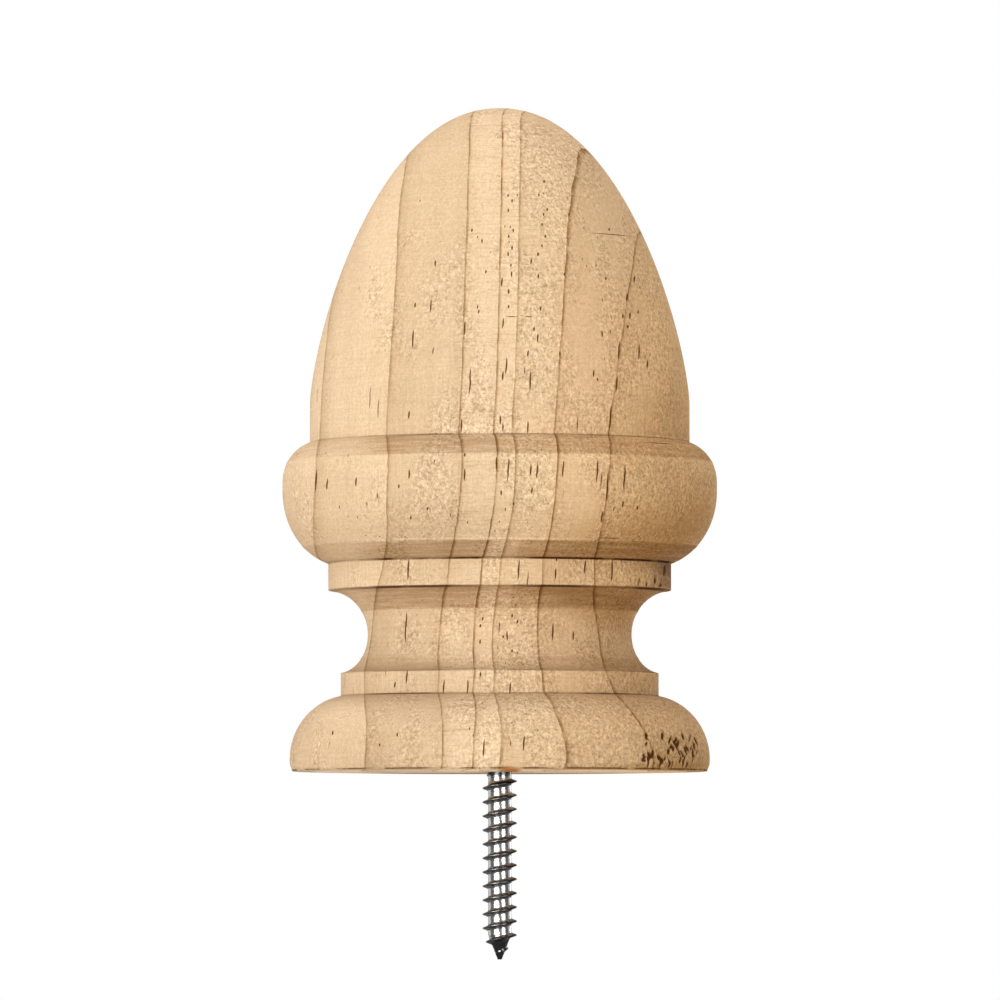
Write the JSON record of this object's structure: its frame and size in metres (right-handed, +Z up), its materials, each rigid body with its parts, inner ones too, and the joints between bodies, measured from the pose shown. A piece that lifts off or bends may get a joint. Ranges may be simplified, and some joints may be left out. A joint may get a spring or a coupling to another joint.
{
  "type": "acorn finial",
  "caption": "Turned pine acorn finial with a rounded collar, cove and foot, and a steel wood screw in its underside for fixing it on top of a post.",
  "frame": {"origin": "centre of the flat underside of the foot, on the turning axis, where the screw leaves the wood", "axes": "+Z up the turning axis from the post to the tip of the acorn; the finial is round about it"},
  "size_m": [0.0762, 0.0762, 0.1493],
  "materials": {
    "pine": "bare sanded pine with upright grain",
    "zinc_steel": "bright zinc-plated"
  },
  "bodies": {
    "root": {"turned_finial": "pine", "post_screw": "zinc_steel"}
  },
  "joints": []
}
